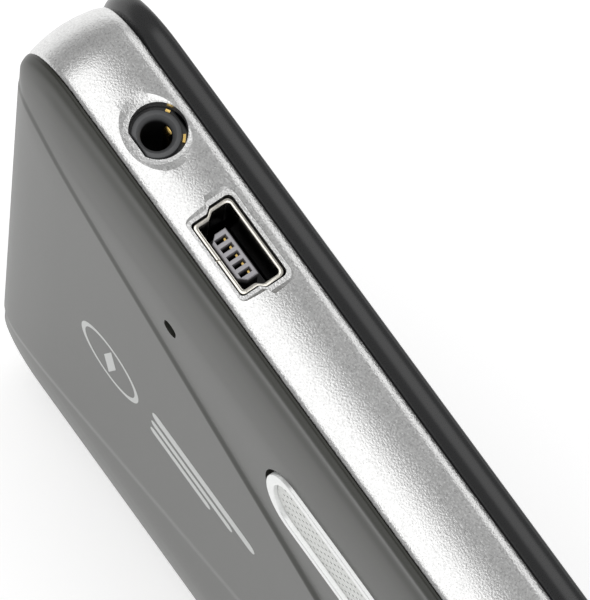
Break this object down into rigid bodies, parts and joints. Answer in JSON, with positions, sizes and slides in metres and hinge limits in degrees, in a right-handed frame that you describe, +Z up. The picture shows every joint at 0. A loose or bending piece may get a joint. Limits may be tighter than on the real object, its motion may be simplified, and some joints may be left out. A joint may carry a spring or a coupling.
{
  "type": "portable satellite navigator",
  "caption": "Slim hand-held satellite navigator: satin metal band, dark bezel and touch screen, soft-touch back with speaker grille, data and headphone sockets in one long edge.",
  "frame": {"origin": "under the middle of the lower long edge, on the plane the object stands on", "axes": "+X along the long edges towards the end with the headphone socket, +Y out of the back cover, +Z up to the edge that holds the sockets"},
  "size_m": [0.134, 0.0114, 0.0843],
  "materials": {
    "cover_soft_touch": "soft-touch matte coating on plastic",
    "band_satin": "bead-blasted satin, polished chamfer",
    "bezel_plastic": "satin dark grey",
    "touch_glass": "gloss, dark when off",
    "display_body": "display module, dark",
    "chassis_metal": "stamped sheet",
    "circuit_board": "green solder mask",
    "shield_metal": "tinned sheet",
    "chip_resin": "moulded resin",
    "connector_white": "moulded",
    "flex_film": "polyimide film",
    "battery_pouch": "laminated foil pouch",
    "foam": "cellular foam",
    "lead_red": "insulated lead",
    "lead_black": "insulated lead",
    "patch_ceramic": "sintered",
    "brass_plug": "plated",
    "speaker_basket": "moulded",
    "cone_paper": "pressed diaphragm",
    "coil_copper": "enamelled copper wire",
    "magnet": "nickel plated",
    "yoke_steel": "zinc plated",
    "grille_silver": "silver painted",
    "grille_mesh_metal": "fine perforated sheet",
    "usb_nickel": "bright nickel",
    "usb_insulator": "moulded",
    "gold_contact": "gold flash",
    "jack_plastic": "moulded",
    "plunger_black": "moulded",
    "button_silver": "silver painted",
    "card_black": "moulded",
    "screw_steel": "zinc plated"
  },
  "bodies": {
    "case": {"antenna_lead": "lead_black", "antenna_plug": "brass_plug", "back_cover": "cover_soft_touch", "battery": "battery_pouch", "battery_connector": "connector_white", "battery_lead_black": "lead_black", "battery_lead_red": "lead_red", "battery_pad": "foam", "bezel_screw_1": "screw_steel", "bezel_screw_2": "screw_steel", "bezel_screw_3": "screw_steel", "bezel_screw_4": "screw_steel", "board_screw_1": "screw_steel", "board_screw_2": "screw_steel", "board_screw_3": "screw_steel", "board_screw_4": "screw_steel", "card_socket": "shield_metal", "chassis_plate": "chassis_metal", "display_connector": "connector_white", "display_flex": "flex_film", "display_module": "display_body", "front_bezel": "bezel_plastic", "grille_frame": "grille_silver", "grille_mesh": "grille_mesh_metal", "jack_body": "jack_plastic", "jack_contact_ring": "gold_contact", "jack_contact_sleeve": "gold_contact", "jack_contact_tip": "gold_contact", "main_board": "circuit_board", "memory_chip": "chip_resin", "metal_band": "band_satin", "patch_antenna": "patch_ceramic", "power_switch": "shield_metal", "processor": "chip_resin", "receiver_module": "shield_metal", "reset_switch": "shield_metal", "shield_can": "shield_metal", "speaker_connector": "connector_white", "speaker_frame": "speaker_basket", "speaker_gasket": "foam", "speaker_lead_black": "lead_black", "speaker_lead_red": "lead_red", "speaker_magnet": "magnet", "speaker_yoke": "yoke_steel", "storage_chip": "chip_resin", "touch_panel": "touch_glass", "usb_contact_1": "gold_contact", "usb_contact_2": "gold_contact", "usb_contact_3": "gold_contact", "usb_contact_4": "gold_contact", "usb_contact_5": "gold_contact", "usb_insulator": "usb_insulator", "usb_shell": "usb_nickel"},
    "power_key": {"power_button": "button_silver"},
    "switch_plunger": {"power_plunger": "plunger_black"},
    "reset_key": {"reset_plunger": "plunger_black"},
    "card": {"memory_card": "card_black"},
    "diaphragm": {"speaker_cone": "cone_paper", "voice_coil": "coil_copper"}
  },
  "joints": [
    {"name": "power_press", "type": "slide", "parent": "case", "child": "power_key", "axis": [0, 0, -1], "range_m": [0, 0.0003], "stiffness_N_per_m": 800, "springref_m": -0.0004},
    {"name": "plunger_press", "type": "slide", "parent": "case", "child": "switch_plunger", "axis": [0, 0, -1], "range_m": [0, 0.0003]},
    {"name": "reset_press", "type": "slide", "parent": "case", "child": "reset_key", "axis": [0, -1, 0], "range_m": [0, 0.0002], "stiffness_N_per_m": 500, "springref_m": -0.0004},
    {"name": "card_slide", "type": "slide", "parent": "case", "child": "card", "axis": [0, 0, 1], "range_m": [0, 0.016]},
    {"name": "cone_travel", "type": "slide", "parent": "case", "child": "diaphragm", "axis": [0, 1, 0], "range_m": [-0.0002, 0.0002], "stiffness_N_per_m": 800}
  ],
  "couplings": [
    {"joint": "plunger_press", "follows": "power_press", "ratio": 1}
  ]
}
